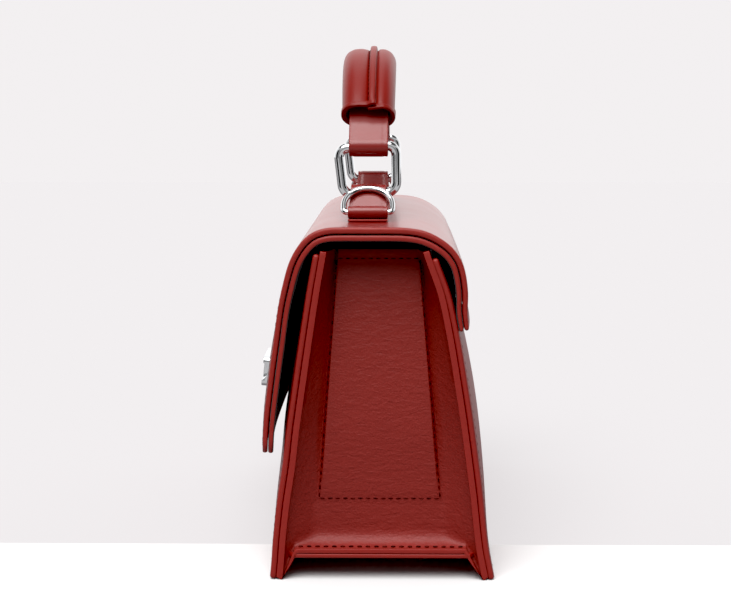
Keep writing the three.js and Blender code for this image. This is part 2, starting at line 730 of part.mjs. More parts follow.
export default group;
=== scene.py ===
import math
import bpy
import numpy as np
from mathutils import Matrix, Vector


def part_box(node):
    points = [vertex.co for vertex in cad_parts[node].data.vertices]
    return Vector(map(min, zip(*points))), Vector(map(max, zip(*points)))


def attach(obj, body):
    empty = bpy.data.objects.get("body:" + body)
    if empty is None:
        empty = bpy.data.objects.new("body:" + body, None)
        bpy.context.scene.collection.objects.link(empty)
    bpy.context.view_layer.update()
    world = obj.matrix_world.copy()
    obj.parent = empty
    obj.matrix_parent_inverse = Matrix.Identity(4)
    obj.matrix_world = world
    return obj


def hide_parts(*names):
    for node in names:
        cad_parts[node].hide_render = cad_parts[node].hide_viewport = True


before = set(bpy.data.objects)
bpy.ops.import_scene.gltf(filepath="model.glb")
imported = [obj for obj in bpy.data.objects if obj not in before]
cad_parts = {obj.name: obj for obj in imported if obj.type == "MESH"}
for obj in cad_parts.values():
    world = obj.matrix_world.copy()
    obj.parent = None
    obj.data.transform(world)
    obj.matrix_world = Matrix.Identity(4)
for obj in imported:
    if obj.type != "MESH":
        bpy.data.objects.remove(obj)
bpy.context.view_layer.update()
bpy.ops.object.select_all(action="DESELECT")

# Sizes are in millimetres, in the bag's own frame: +Z up, the flap's front faces -Y
MM = 0.001
SIDES = ((1, "right"), (-1, "left"))

# Body of the bag. The flanges sink into the panels by SEAM, so that no light shows between them
BAG_WIDTH = 220
HALF_WIDTH = BAG_WIDTH / 2
FRONT_HEIGHT = 146
BACK_HEIGHT = 144.4
PANEL_PLY = 3
PANEL_BULGE = 4.5
SEAM = -0.05
FLANGE_PLY = 2.8
RECESS = 9
BOTTOM_TOP = 11.8
BOTTOM_PLY = 1.9
FOOT_TOP = 14

# Outer faces of the panels at the bag's ends: height, depth
FRONT_LINE = [
    (0, -44.3), (8, -43.5), (15, -43), (25, -42), (35, -40.8), (52, -38.2), (69.1, -36.2),
    (125, -27.95), (146, -24.29),
]
BACK_LINE = [(0, 56.32), (15, 53.41), (40, 50.56), (83, 44.55), (125, 36.93), (144.4, 30.32)]

# Inner face of the flap from its tip over the top to the back: depth, height, thickness
FLAP_LINE = [
    (-42.2, 56.0, 4.7), (-42.0, 61.0, 4.9), (-41.7, 66.0, 5.0), (-40.8, 75.2, 5.2),
    (-38.5, 92.6, 5.3), (-36.7, 105.3, 5.3), (-34.6, 120.6, 5.4), (-32.5, 130.1, 5.6),
    (-29.8, 139.6, 5.7), (-26.6, 145.4, 5.9), (-22.6, 149.5, 6.1), (-17.9, 151.0, 6.4),
    (-11.9, 151.3, 6.4), (-0.9, 151.3, 6.4), (10.1, 151.3, 6.4), (17.1, 151.0, 6.4),
    (23.0, 149.9, 6.4), (28.9, 147.2, 6.2), (33.4, 143.6, 6.0), (36.3, 138.7, 5.8),
    (38.1, 129.4, 5.5), (38.4, 119.9, 5.1), (39.8, 111.5, 4.4),
]
FLAP_TOP_THICKNESS = 6.4
FLAP_PLY_SHARE = 0.47
FLAP_BULGE = 4
FLAP_CORNER = 6
BULGE_FADES_AT = 95.3
BULGE_FADE_RUN = 49.9

# Handle and its fittings
HANDLE_Y = -0.88
RING_X = 63
RING_WIRE = 4.6
RING_FOOT = 169.4
RING_HEAD = 191.4
RING_EYE = 3.1
ARCH_RADIUS = 70.07
ARCH_CENTRE = 160.73
ROLL_SWEEP = math.radians(50)
D_BAR = (79.8, 162.1)
D_WIRE = 2.8
D_WIDTH = 25
D_HEIGHT = 18
D_LEAN = math.radians(47.93)

# Where the pale grey studio paper ends and the white begins, in front of the bag's middle
PAPER_STEP = 57


def linear(hex_colour):
    """Turns an sRGB hex value into the linear colour that a shader takes."""
    parts = [int(hex_colour[i:i + 2], 16) / 255 for i in (1, 3, 5)]
    return tuple(p / 12.92 if p <= 0.04045 else ((p + 0.055) / 1.055) ** 2.4 for p in parts) + (1,)


def per(size):
    """Pattern scale for features of this size in millimetres, on Object coordinates in metres."""
    return 1 / (size * MM)


def ribs(spacing):
    """Scale of a diagonal wave whose ribs lie this far apart in mm: it draws 10 / 2 pi of them for
    each unit of x + y + z."""
    return per(spacing) * 2 * math.pi / (10 * math.sqrt(3))


TWO_COLOURS = {"data_type": "RGBA"}


def add_node(material, kind, settings=None, inputs=None, links=None):
    """Adds one shader node with its settings, its socket values and its links."""
    node = material.node_tree.nodes.new("ShaderNode" + kind)
    for name, value in (settings or {}).items():
        setattr(node, name, value)
    for name, value in (inputs or {}).items():
        node.inputs[name].default_value = value
    for name, source in (links or {}).items():
        material.node_tree.links.new(source, node.inputs[name])
    return node


def new_material(name):
    material = bpy.data.materials.new(name)
    material.use_nodes = True
    material.node_tree.nodes.clear()
    return material


def calf_leather(name, dark, light, grain, relief, crease=0.0, roughness=(0.34, 0.46), coat=0.05,
                 shine=0.45):
    """Pigmented calf: its pores show as fine relief, under a finish that is a thin glossy film."""
    material = new_material(name)
    spot = add_node(material, "TexCoord").outputs["Object"]
    clouds = add_node(material, "TexNoise", None, {"Scale": per(28), "Detail": 4.0},
                      {"Vector": spot})
    pores = add_node(material, "TexVoronoi", None, {"Scale": per(grain)}, {"Vector": spot})
    fine = add_node(material, "TexNoise", None, {"Scale": per(grain * 0.45), "Detail": 3.0},
                    {"Vector": spot})
    skin = add_node(material, "Math", {"operation": "MULTIPLY_ADD"}, {1: 0.5},
                    {0: fine.outputs["Fac"], 2: pores.outputs["Distance"]})
    bump = add_node(material, "Bump", None, {"Strength": relief, "Distance": 0.12 * MM},
                    {"Height": skin.outputs[0]})
    if crease:
        drawn = add_node(material, "Mapping", None, {"Scale": (1, 0.4, 1)}, {"Vector": spot})
        folds = add_node(material, "TexNoise", None,
                         {"Scale": per(2.4), "Detail": 4.0, "Roughness": 0.6, "Distortion": 0.8},
                         {"Vector": drawn.outputs["Vector"]})
        bump = add_node(material, "Bump", None, {"Strength": crease, "Distance": 0.8 * MM},
                        {"Height": folds.outputs["Fac"], "Normal": bump.outputs["Normal"]})
    colour = add_node(material, "Mix", TWO_COLOURS, {6: linear(dark), 7: linear(light)},
                      {0: clouds.outputs["Fac"]})
    film = add_node(material, "MapRange", None, {"To Min": roughness[0], "To Max": roughness[1]},
                    {"Value": clouds.outputs["Fac"]})
    shade = add_node(material, "BsdfPrincipled", None,
                     {"IOR": 1.5, "Specular IOR Level": shine, "Coat Weight": coat,
                      "Coat Roughness": 0.2, "Coat IOR": 1.5},
                     {"Base Color": colour.outputs[2], "Roughness": film.outputs["Result"],
                      "Normal": bump.outputs["Normal"]})
    add_node(material, "OutputMaterial", links={"Surface": shade.outputs["BSDF"]})
    return material


def painted_edge(name, dark, light):
    """Acrylic edge paint over the cut plies: even, rounded, a little glossy, with faint ripples."""
    material = new_material(name)
    spot = add_node(material, "TexCoord").outputs["Object"]
    ripple = add_node(material, "TexNoise", None, {"Scale": per(2.2), "Detail": 3.0},
                      {"Vector": spot})
    bump = add_node(material, "Bump", None, {"Strength": 0.35, "Distance": 0.15 * MM},
                    {"Height": ripple.outputs["Fac"]})
    colour = add_node(material, "Mix", TWO_COLOURS, {6: linear(dark), 7: linear(light)},
                      {0: ripple.outputs["Fac"]})
    film = add_node(material, "MapRange", None, {"To Min": 0.42, "To Max": 0.58},
                    {"Value": ripple.outputs["Fac"]})
    shade = add_node(material, "BsdfPrincipled", None, {"IOR": 1.48, "Specular IOR Level": 0.55},
                     {"Base Color": colour.outputs[2], "Roughness": film.outputs["Result"],
                      "Normal": bump.outputs["Normal"]})
    add_node(material, "OutputMaterial", links={"Surface": shade.outputs["BSDF"]})
    return material


def waxed_thread(name, dark, light):
    """Bonded polyester thread: matt. Its twist is too fine to show, so it is drawn as slow waves
    3.6 mm apart, which make each stitch a little lighter or darker than the next."""
    material = new_material(name)
    spot = add_node(material, "TexCoord").outputs["Object"]
    twist = add_node(material, "TexWave", {"bands_direction": "DIAGONAL"},
                     {"Scale": ribs(3.628), "Distortion": 0.6}, {"Vector": spot})
    bump = add_node(material, "Bump", None, {"Strength": 0.4, "Distance": 0.08 * MM},
                    {"Height": twist.outputs["Fac"]})
    colour = add_node(material, "Mix", TWO_COLOURS, {6: linear(dark), 7: linear(light)},
                      {0: twist.outputs["Fac"]})
    shade = add_node(material, "BsdfPrincipled", None,
                     {"Roughness": 0.7, "Specular IOR Level": 0.2},
                     {"Base Color": colour.outputs[2], "Normal": bump.outputs["Normal"]})
    add_node(material, "OutputMaterial", links={"Surface": shade.outputs["BSDF"]})
    return material


def cotton_twill(name, dark, light):
    """Black twill lining, dull and faintly uneven. Its ribs are drawn 6.5 mm apart, much coarser
    than real, because finer ones don't show in the dark under the flap."""
    material = new_material(name)
    spot = add_node(material, "TexCoord").outputs["Object"]
    weave = add_node(material, "TexWave", {"bands_direction": "DIAGONAL"},
                     {"Scale": ribs(6.53), "Distortion": 0.8, "Detail": 2.0}, {"Vector": spot})
    bump = add_node(material, "Bump", None, {"Strength": 0.5, "Distance": 0.15 * MM},
                    {"Height": weave.outputs["Fac"]})
    colour = add_node(material, "Mix", TWO_COLOURS, {6: linear(dark), 7: linear(light)},
                      {0: weave.outputs["Fac"]})
    shade = add_node(material, "BsdfPrincipled", None, {"Roughness": 0.85, "Sheen Weight": 0.25},
                     {"Base Color": colour.outputs[2], "Normal": bump.outputs["Normal"]})
    add_node(material, "OutputMaterial", links={"Surface": shade.outputs["BSDF"]})
    return material


def polished_chrome(name, dark, light):
    """Chromium plate on cast zinc: a mirror with faint polishing lines and hazy patches."""
    material = new_material(name)
    spot = add_node(material, "TexCoord").outputs["Object"]
    lines = add_node(material, "Mapping", None, {"Scale": (0.08, 1, 1)}, {"Vector": spot})
    scratch = add_node(material, "TexNoise", None, {"Scale": per(0.4), "Detail": 3.0},
                       {"Vector": lines.outputs["Vector"]})
    haze = add_node(material, "TexNoise", None, {"Scale": per(6)}, {"Vector": spot})
    bump = add_node(material, "Bump", None, {"Strength": 0.04, "Distance": 0.05 * MM},
                    {"Height": scratch.outputs["Fac"]})
    colour = add_node(material, "Mix", TWO_COLOURS, {6: linear(dark), 7: linear(light)},
                      {0: haze.outputs["Fac"]})
    film = add_node(material, "MapRange", None, {"To Min": 0.05, "To Max": 0.11},
                    {"Value": haze.outputs["Fac"]})
    shade = add_node(material, "BsdfPrincipled", None, {"Metallic": 1.0},
                     {"Base Color": colour.outputs[2], "Roughness": film.outputs["Result"],
                      "Normal": bump.outputs["Normal"]})
    add_node(material, "OutputMaterial", links={"Surface": shade.outputs["BSDF"]})
    return material


def studio_paper(name, dark, light, dull, glow):
    """Matt studio paper, pale grey and lit from behind at the back, white in front. It shows those
    two colours, and throws back only the duller one's light."""
    material = new_material(name)
    spot = add_node(material, "TexCoord").outputs["Object"]
    parts = add_node(material, "SeparateXYZ", links={"Vector": spot})
    front = add_node(material, "MapRange", None,
                     {"From Min": (PAPER_STEP - 0.5) * MM, "From Max": (PAPER_STEP + 0.5) * MM},
                     {"Value": parts.outputs["X"]})
    rays = add_node(material, "LightPath")
    shown = add_node(material, "Math", {"operation": "MULTIPLY_ADD"}, {1: 0.35},
                     {0: rays.outputs["Is Glossy Ray"], 2: rays.outputs["Is Camera Ray"]})
    tones = add_node(material, "Mix", TWO_COLOURS, {6: linear(dark), 7: linear(light)},
                     {0: front.outputs["Result"]})
    paper = add_node(material, "Mix", TWO_COLOURS, {6: linear(dull)},
                     {0: shown.outputs[0], 7: tones.outputs[2]})
    back = add_node(material, "MapRange", None, {"To Min": 0.64, "To Max": 0.0},
                    {"Value": front.outputs["Result"]})
    backlight = add_node(material, "Math", {"operation": "MULTIPLY"}, None,
                         {0: back.outputs["Result"], 1: rays.outputs["Is Camera Ray"]})
    shade = add_node(material, "BsdfPrincipled", None,
                     {"Roughness": 0.9, "Specular IOR Level": 0.0, "Emission Color": linear(glow)},
                     {"Base Color": paper.outputs[2], "Emission Strength": backlight.outputs[0]})
    add_node(material, "OutputMaterial", links={"Surface": shade.outputs["BSDF"]})
    return material


BACKDROP = "#F3F0F1"
LEATHER = calf_leather("plated_calf_red", "#841B16", "#90211B", grain=0.8, relief=0.12, coat=0.42)
GRAINED = calf_leather("grained_calf_red", "#85251F", "#932C25", grain=1.3, relief=0.75, crease=0.5,
                       roughness=(0.5, 0.64))
PADDED = calf_leather("soft_calf_red", "#7F1C15", "#8B2019", grain=0.7, relief=0.14, crease=0.08,
                      shine=0.25)
EDGE = painted_edge("painted_edge_red", "#92231D", "#A22C24")
THREAD = waxed_thread("bonded_thread_oxblood", "#35080A", "#5E1714")
LINING = cotton_twill("twill_lining_black", "#060505", "#141211")
CHROME = polished_chrome("chromium_plate", "#D2D3D5", "#E3E4E6")
PAPER = studio_paper("studio_paper", "#838182", "#F4F4F4", dull="#8B8889", glow=BACKDROP)


def take(piece):
    """Makes one piece the only selected and the active one."""
    bpy.ops.object.select_all(action="DESELECT")
    piece.select_set(True)
    bpy.context.view_layer.objects.active = piece


def start_from(add, name, **settings):
    """Starts a piece from a primitive, with nothing else selected."""
    bpy.ops.object.select_all(action="DESELECT")
    add(**settings)
    piece = bpy.context.object
    piece.name = name
    return piece


def take_all(piece, kind="VERT"):
    """Opens a piece in edit mode with all of it selected."""
    take(piece)
    bpy.ops.object.mode_set(mode="EDIT")
    bpy.ops.mesh.select_mode(type=kind)
    bpy.ops.mesh.select_all(action="SELECT")


def select_where(piece, wanted):
    """Selects the points of a piece that wanted(spot in mm) picks, in edit mode afterwards."""
    take_all(piece)
    bpy.ops.mesh.select_all(action="DESELECT")
    bpy.ops.object.mode_set(mode="OBJECT")
    for point in piece.data.vertices:
        point.select = bool(wanted(point.co / MM))
    bpy.ops.object.mode_set(mode="EDIT")


def resize_where(piece, wanted, shares, centre=(0, 0, 0)):
    """Resizes the points that wanted(spot in mm) picks, about a centre in mm."""
    select_where(piece, wanted)
    bpy.ops.transform.resize(value=shares, center_override=Vector(centre) * MM)
    bpy.ops.object.mode_set(mode="OBJECT")


def apply_modifier(piece, kind, **settings):
    take(piece)
    modifier = piece.modifiers.new(kind.title(), kind)
    for name, value in settings.items():
        setattr(modifier, name, value)
    bpy.ops.object.modifier_apply(modifier=modifier.name)


def round_edges(piece, radius, angle=50, steps=3):
    """Rounds over the edges of a piece that turn by more than an angle."""
    apply_modifier(piece, "BEVEL", width=radius * MM, segments=steps, limit_method="ANGLE",
                   angle_limit=math.radians(angle))


def weigh(piece, name, weight):
    """Gives a piece a point group whose weights are weight(spot in mm)."""
    group = piece.vertex_groups.new(name=name)
    for point in piece.data.vertices:
        group.add([point.index], min(max(weight(point.co / MM), 0), 1), "REPLACE")
    return name


def bow_out(piece, amount, weight):
    """Pushes a piece along Y by up to amount, most where weight is 1."""
    group = weigh(piece, "bow", weight)
    apply_modifier(piece, "DISPLACE", strength=amount * MM, mid_level=0, direction="Y",
                   vertex_group=group)
    piece.vertex_groups.remove(piece.vertex_groups[group])


def draw_curve(name, points, closed=False):
    """Draws a line through points, in mm."""
    curve = bpy.data.curves.new(name, "CURVE")
    curve.dimensions = "3D"
    line = curve.splines.new("POLY")
    line.points.add(len(points) - 1)
    for knot, point in zip(line.points, points):
        knot.co = (*(Vector(point) * MM), 1)
    line.use_cyclic_u = closed
    drawn = bpy.data.objects.new(name, curve)
    bpy.context.collection.objects.link(drawn)
    return drawn


def drawn_line(name, points, closed=False, wire=0):
    """Draws a line and makes it a chain of edges, or round wire of a diameter."""
    drawn = draw_curve(name, points, closed)
    drawn.data.bevel_depth = wire / 2 * MM
    drawn.data.bevel_resolution = 6
    take(drawn)
    bpy.ops.object.convert(target="MESH")
    return bpy.context.object


def align_faces(piece):
    """Makes all faces of a piece look the same way, outward where it is closed."""
    take_all(piece)
    bpy.ops.mesh.normals_make_consistent(inside=False)
    bpy.ops.object.mode_set(mode="OBJECT")


def turn_faces(piece, spot, outside):
    """Makes a sheet's faces look the way that its face near a spot should."""
    align_faces(piece)
    near = min(piece.data.polygons, key=lambda face: (face.center - Vector(spot) * MM).length)
    if near.normal.dot(Vector(outside)) < 0:
        take_all(piece)
        bpy.ops.mesh.flip_normals()
        bpy.ops.object.mode_set(mode="OBJECT")


def cut_sheet(name, points, across, steps, outside):
    """Draws a profile and extrudes it across in steps; its first face looks towards outside."""
    piece = drawn_line(name, points)
    take_all(piece)
    stride = Vector(across) * (MM / steps)
    for _ in range(steps):
        bpy.ops.mesh.extrude_region_move(TRANSFORM_OT_translate={"value": stride})
    bpy.ops.object.mode_set(mode="OBJECT")
    turn_faces(piece, points[0], outside)
    return piece


def dress(piece, *materials):
    piece.data.materials.clear()
    for material in materials:
        piece.data.materials.append(material)


def thicken(piece, ply, face, rim_round, edge=EDGE, group="", even=True):
    """Gives a sheet its ply, on the side away from its faces, with rounded and painted edges."""
    dress(piece, face, edge)
    apply_modifier(piece, "SOLIDIFY", thickness=ply * MM, offset=-1, use_even_offset=even,
                   material_offset_rim=1, vertex_group=group)
    piece.vertex_groups.clear()
    round_edges(piece, rim_round)


def level_foot(piece):
    """Brings what the ply pushed below the floor back up to it."""
    resize_where(piece, lambda s: s.z < 0, (1, 1, 0))


def finish_piece(piece, slot, *nodes, body="bag", angle=40):
    take(piece)
    bpy.ops.object.shade_smooth_by_angle(angle=math.radians(angle))
    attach(piece, body)
    if nodes:
        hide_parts(*nodes)
    return piece


def smooth_through(rows, at):
    """Smooth value at a place, through rows of (place, value)."""
    places = [row[0] for row in rows]
    i = int(np.clip(np.searchsorted(places, at) - 1, 0, len(rows) - 2))
    slopes = [(rows[min(k + 1, len(rows) - 1)][1] - rows[max(k - 1, 0)][1])
              / (rows[min(k + 1, len(rows) - 1)][0] - rows[max(k - 1, 0)][0]) for k in (i, i + 1)]
    run = places[i + 1] - places[i]
    t = (at - places[i]) / run
    return ((2 * t ** 3 - 3 * t ** 2 + 1) * rows[i][1] + (3 * t ** 2 - 2 * t ** 3) * rows[i + 1][1]
            + ((t ** 3 - 2 * t ** 2 + t) * slopes[0] + (t ** 3 - t ** 2) * slopes[1]) * run)


def ease(t):
    """Goes smoothly from 0 to 1 as t does, and stays there."""
    t = min(max(t, 0), 1)
    return t * t * (3 - 2 * t)


def front_outer(z):
    return smooth_through(FRONT_LINE, z)


def back_outer(z):
    return smooth_through(BACK_LINE, z)


def bow(x):
    return 1 - abs(x / HALF_WIDTH) ** 3


def front_face(x, z):
    """Depth of the front panel's outer face."""
    return front_outer(z) - PANEL_BULGE * bow(x) * math.sin(math.pi * z / FRONT_HEIGHT)


def back_face(x, z):
    return back_outer(z) + PANEL_BULGE * bow(x) * math.sin(math.pi * min(z / BACK_HEIGHT, 1))


def stitch_row(name, points, pitch=3.6, length=2.5, thread=0.7):
    """Sews a row of stitches along a line: one stitch is shaped and repeated along it."""
    guide = draw_curve(name + "_path", points)
    run = sum((Vector(b) - Vector(a)).length for a, b in zip(points, points[1:]))
    stitch = start_from(bpy.ops.mesh.primitive_uv_sphere_add, name, segments=8, ring_count=6,
                        radius=0.5 * MM)
    take_all(stitch)
    bpy.ops.transform.rotate(value=math.pi / 2, orient_axis="Y", center_override=(0, 0, 0))
    bpy.ops.transform.resize(value=(length, thread, thread), center_override=(0, 0, 0))
    bpy.ops.transform.translate(value=(pitch / 2 * MM, 0, 0))
    bpy.ops.object.mode_set(mode="OBJECT")
    count = max(int(run / pitch), 1)
    apply_modifier(stitch, "ARRAY", fit_type="FIXED_COUNT", count=count, use_relative_offset=False,
                   use_constant_offset=True, constant_offset_displace=(run / count * MM, 0, 0))
    apply_modifier(stitch, "CURVE", object=guide, deform_axis="POS_X")
    bpy.data.objects.remove(guide)
    dress(stitch, THREAD)
    return finish_piece(stitch, "leather", angle=60)


def along(function, start, stop, count):
    return [function(value) for value in np.linspace(start, stop, count)]


# Front and back panels, whose lower edges are the bag's feet, with stitches near their edges
FOOT_CLEAR = 0.5
SIDE_STITCH = HALF_WIDTH - 4.5
TOP_STITCH = FRONT_HEIGHT - 4
STITCH_SUNK = 0.24


def panel(node, outer, height, way):
    line = along(lambda z: (-HALF_WIDTH, outer(z), z), FOOT_CLEAR, height, 49)
    piece = cut_sheet(node + "_hide", line, (BAG_WIDTH, 0, 0), 40, (0, way, 0))
    bow_out(piece, way * PANEL_BULGE, lambda s: bow(s.x) * math.sin(math.pi * s.z / height))
    thicken(piece, PANEL_PLY, LEATHER, rim_round=1.2)
    level_foot(piece)
    finish_piece(piece, "leather", node)


panel("front_panel", front_outer, FRONT_HEIGHT, -1)
panel("back_panel", back_outer, BACK_HEIGHT, 1)
for side, mark in SIDES:
    x = side * SIDE_STITCH
    stitch_row(f"front_side_stitches_{mark}",
               along(lambda z: (x, front_face(x, z) + STITCH_SUNK, z), 4, 140, 40))
    stitch_row(f"back_side_stitches_{mark}",
               along(lambda z: (x, back_face(x, z) - STITCH_SUNK, z), 4, 110, 40))
stitch_row("front_top_stitches", along(
    lambda x: (x, front_face(x, TOP_STITCH) + STITCH_SUNK / 2, TOP_STITCH),
    -SIDE_STITCH, SIDE_STITCH, 40))

# Gussets: a flange along each panel and along the bottom, a rounded turn and a recessed wall with
# a stitched reinforcement behind it and a folded hem along the top
TURN = 6.5
TURN_STEPS = 6
SLOPE_ROUND = 0.2
WALL_COLUMNS = 46
WALL_ROWS = 64
WALL_LEAN = 7.5
LEAN_FOOT = 60
MARGIN_LEAST = 2.4
# Reinforcement: its lower and upper edge, and each side edge's depth at both
PATCH = {"low": 34.8, "high": 142.4, "front": (-23.4, -15.3), "back": (32.8, 23.6)}
PATCH_RISE = 0.35
PATCH_SLOPE = 1.4
HEM_FOOT = 143
HEM_RISE = 0.5
HEM_SLOPE = 0.8
# Gores: the flanges' lower corners, which reach down to the floor and grow thin there
GORE_FOOT = 0.6
GORE_HEAD = 34
GORE_REACH = 4.4
GORE_PLIES = (0.25, 0.7)
# Groove beside the reinforcement, from a height up and from a share of the margin's depth in
GROOVE = 2.6
GROOVE_FOOT = 24
GROOVE_RUN = 40
GROOVE_START = 0.28


def front_seam(z):
    return front_outer(z) + PANEL_PLY + SEAM


def back_seam(z):
    return back_outer(z) - PANEL_PLY - SEAM


def wall_depth(z):
    """Depth of the wall from the bag's end: it leans in towards the top."""
    return RECESS + WALL_LEAN * (max(z - LEAN_FOOT, 0) / (BACK_HEIGHT - LEAN_FOOT)) ** 1.5


def turn_stations():
    """Steps from the bottom flange's cut edge round its turn: how far up and how deep."""
    flange = [(0, 0), (0, (RECESS - TURN) / 2)]
    quarter = [k / TURN_STEPS * math.pi / 2 for k in range(TURN_STEPS + 1)]
    return flange + [(TURN * (1 - math.cos(a)), RECESS - TURN + TURN * math.sin(a))
                     for a in quarter]


def slope_stations(reach):
    """Steps from a side flange's cut edge down the sloping margin to the stiffened middle."""
    flange = [(0, 0), (0, (RECESS - TURN) / 2)]
    shares = [k / TURN_STEPS for k in range(TURN_STEPS + 1)]
    return flange + [(reach * t, RECESS - TURN + TURN * (
        (1 - SLOPE_ROUND) * t + SLOPE_ROUND * math.sin(t * math.pi / 2))) for t in shares]


def up_patch(z):
    """How far up the reinforcement a height is, from 0 to 1."""
    return (z - PATCH["low"]) / (PATCH["high"] - PATCH["low"])


def patch_edge(share, edge):
    return PATCH[edge][0] + (PATCH[edge][1] - PATCH[edge][0]) * share


def between_sides(y, z):
    """How far a place lies inside the side edges of the reinforcement, in mm."""
    return min(y - patch_edge(up_patch(z), "front"), patch_edge(up_patch(z), "back") - y)


def rise(inside):
    """Goes from 0 just outside an edge of the reinforcement to 1 a little inside it."""
    return ease((inside + 0.1) / PATCH_SLOPE)


def patch_share(y, z):
    """1 well inside the reinforcement, 0 outside it."""
    return rise(min(z - PATCH["low"], PATCH["high"] - z, between_sides(y, z)))


def margins(z):
    """Widths of the sloping margins at the front and at the back."""
    front = patch_edge(up_patch(z), "front") - front_seam(z) - FLANGE_PLY
    back = back_seam(z) - FLANGE_PLY - patch_edge(up_patch(z), "back")
    return max(front, MARGIN_LEAST), max(back, MARGIN_LEAST)


def gusset_spot(across, up):
    """Visible face of the right gusset at a column and a row: depth from the bag's end, y and z."""
    low = turn_stations()
    turns = len(low)
    foot = FOOT_TOP + TURN
    row_depth = RECESS
    z = foot + (BACK_HEIGHT - foot) * (up - turns + 1) / (WALL_ROWS - turns)
    if up < turns:
        lift, row_depth = low[up]
        z = FOOT_TOP + lift
    front, back = margins(z)
    from_back = WALL_COLUMNS - across
    inset, depth = GORE_REACH, RECESS
    if across < turns:
        inset, depth = slope_stations(front)[across]
    elif from_back < turns:
        inset, depth = slope_stations(back)[from_back]
    dip = (FOOT_TOP - GORE_FOOT) * max(1 - inset / GORE_REACH, 0)
    z -= dip * max(GORE_HEAD - z, 0) / (GORE_HEAD - FOOT_TOP)
    y_front = front_seam(z) + FLANGE_PLY
    y_back = back_seam(z) - FLANGE_PLY
    if across < turns:
        y = y_front + inset
    elif from_back < turns:
        y = y_back - inset
    else:
        share = (across - turns + 1) / (WALL_COLUMNS - 2 * turns + 2)
        y = y_front + front + (y_back - back - y_front - front) * share
    shy = ((1 - depth / RECESS) ** 3 + (1 - row_depth / RECESS) ** 3) ** (1 / 3)
    groove = GROOVE * min(max((z - GROOVE_FOOT) / GROOVE_RUN, 0), 1)
    groove *= max(depth / RECESS - GROOVE_START, 0) / (1 - GROOVE_START)
    return wall_depth(z) * max(1 - shy, 0) + groove * (1 - rise(between_sides(y, z))), y, z


def ply_share(s):
    """Share of the gusset's ply at a spot: whole, but thin in the gores."""
    inset = min(s.y - front_seam(s.z), back_seam(s.z) - s.y) - FLANGE_PLY
    if s.z > FOOT_TOP + 1.5 or inset < 0.2:
        return 1
    tip, inner = GORE_PLIES
    return tip + (inner - tip) * min(inset / GORE_REACH, 1) ** 2


def on_wall(side, y, z):
    """Place of a stitch that lies on the wall."""
    return (side * (HALF_WIDTH - wall_depth(z) + 0.1), y, z)


def gusset(side, mark):
    wall = start_from(bpy.ops.mesh.primitive_grid_add, f"gusset_{mark}_hide",
                      x_subdivisions=WALL_COLUMNS, y_subdivisions=WALL_ROWS, size=2 * MM)
    for point in wall.data.vertices:
        across = round((point.co.x / MM + 1) / 2 * WALL_COLUMNS)
        up = round((point.co.y / MM + 1) / 2 * WALL_ROWS)
        depth, y, z = gusset_spot(across, up)
        relief = PATCH_RISE * patch_share(y, z)
        if z > HEM_FOOT and depth > RECESS / 2:
            relief += HEM_RISE * min((z - HEM_FOOT) / HEM_SLOPE, 1)
        point.co = Vector((side * (HALF_WIDTH - depth + relief), y, z)) * MM
    take_all(wall)
    bpy.ops.mesh.remove_doubles(threshold=0.05 * MM)
    bpy.ops.object.mode_set(mode="OBJECT")
    turn_faces(wall, (side * (HALF_WIDTH - RECESS), 5, 80), (side, 0, 0))
    group = weigh(wall, "ply", ply_share)
    thicken(wall, FLANGE_PLY, GRAINED, rim_round=0.6, group=group, even=False)
    level_foot(wall)
    finish_piece(wall, "leather", f"gusset_{mark}")

    low, high = PATCH["low"], PATCH["high"]
    for edge, inward in (("front", 0.9), ("back", -0.9)):
        line = along(lambda t: on_wall(side, patch_edge(t, edge) + inward, low + (high - low) * t),
                     0, 1, 12)
        stitch_row(f"patch_{edge}_stitches_{mark}", line, pitch=3.3, length=2.2)
    for edge, z, t in (("foot", low, 0), ("head", high, 1)):
        line = along(lambda y: on_wall(side, y, z),
                     patch_edge(t, "front") + 0.8, patch_edge(t, "back") - 0.8, 12)
        stitch_row(f"patch_{edge}_stitches_{mark}", line, pitch=3.3, length=2.3)
    flange = along(lambda y: (side * (HALF_WIDTH - 3.1), y, FOOT_TOP + 0.35),
                   front_seam(FOOT_TOP) + FLANGE_PLY + 5, back_seam(FOOT_TOP) - FLANGE_PLY - 5, 12)
    stitch_row(f"foot_stitches_{mark}", flange, pitch=3.75, length=2.2, thread=1)


for side, mark in SIDES:
    gusset(side, mark)

# Bottom: a raised sheet, narrower at its ends, and along each panel a flange down to the floor
BOTTOM_END_SHARE = 0.92
FLANGE_END = 106
FLANGE_FOOT = 0.6
FLANGE_HEAD = 13
bottom_line = along(lambda y: (-HALF_WIDTH, y, BOTTOM_TOP), front_seam(BOTTOM_TOP) + FLANGE_PLY,
                    back_seam(BOTTOM_TOP) - FLANGE_PLY, 12)
bottom = cut_sheet("bottom_hide", bottom_line, (BAG_WIDTH, 0, 0), 40, (0, 0, 1))
resize_where(bottom, lambda s: abs(s.x) > HALF_WIDTH - 1, (1, BOTTOM_END_SHARE, 1),
             (0, bottom_line[6][1], 0))
thicken(bottom, BOTTOM_PLY, LEATHER, rim_round=0.5)
finish_piece(bottom, "leather", "bottom_panel")
for mark, seam, way in (("front", front_seam, 1), ("back", back_seam, -1)):
    line = along(lambda z: (-FLANGE_END, seam(z) + way * FLANGE_PLY, z),
                 FLANGE_FOOT, FLANGE_HEAD, 9)
    flange = cut_sheet(f"{mark}_foot_flange", line, (2 * FLANGE_END, 0, 0), 8, (0, way, 0))
    thicken(flange, FLANGE_PLY, LEATHER, rim_round=0.7)
    level_foot(flange)
    finish_piece(flange, "leather", "bottom_panel")


